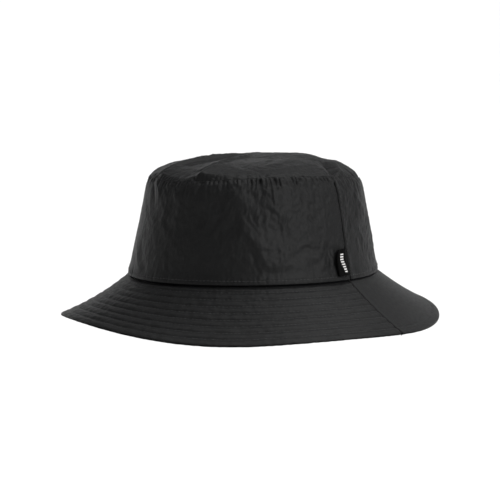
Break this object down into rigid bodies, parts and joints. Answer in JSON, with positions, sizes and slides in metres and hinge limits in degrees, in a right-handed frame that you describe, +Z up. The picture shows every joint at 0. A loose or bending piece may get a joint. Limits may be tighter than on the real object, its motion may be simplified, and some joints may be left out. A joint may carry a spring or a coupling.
{
  "type": "bucket hat",
  "caption": "Soft black bucket hat with an oval tip, tapered crown wall, sloping brim with stitched front half, lining, sweatband and a folded side tab.",
  "frame": {"origin": "centre of the head opening, in the plane of the seam between crown and brim", "axes": "+Z up out of the crown, -Y towards the front of the hat, +X towards the wearer's left"},
  "size_m": [0.2738, 0.2973, 0.1274],
  "materials": {
    "shell": "fine plain-weave nylon with a soft sheen",
    "lining": "thin smooth taffeta lining",
    "interlining": "stiff non-woven sheet",
    "sweatband": "folded twill band, matt",
    "thread": "twisted polyester sewing thread",
    "side_label": "damask woven tape with a pale woven figure",
    "care_label": "blank satin tape"
  },
  "bodies": {
    "hat": {"crown_tip": "shell", "crown_panel_front": "shell", "crown_panel_rear": "shell", "brim_top_front": "shell", "brim_top_rear": "shell", "brim_under_front": "shell", "brim_under_rear": "shell", "lining_tip": "lining", "lining_panel_front": "lining", "lining_panel_rear": "lining", "brim_interlining_front": "interlining", "sweatband": "sweatband", "brim_stitch_row_1": "thread", "brim_stitch_row_2": "thread", "brim_stitch_row_3": "thread", "brim_stitch_row_4": "thread", "brim_stitch_row_5": "thread", "brim_stitch_row_6": "thread", "brim_stitch_row_7": "thread", "brim_edge_stitch": "thread", "crown_base_stitch": "thread", "side_seam_stitch_left": "thread", "side_seam_stitch_right": "thread"},
    "side_tab": {"side_label": "side_label"},
    "care_tab": {"care_label": "care_label"}
  },
  "joints": [
    {"name": "side_label_flap", "type": "hinge", "parent": "hat", "child": "side_tab", "pos_m": [0.09074, 0, 0.00419], "axis": [-0.1945, 0, 0.9809], "range_deg": [0, 150]},
    {"name": "care_label_flap", "type": "hinge", "parent": "hat", "child": "care_tab", "pos_m": [0, 0.0883, 0.03188], "axis": [-1, 0, 0], "range_deg": [-8, 140]}
  ]
}
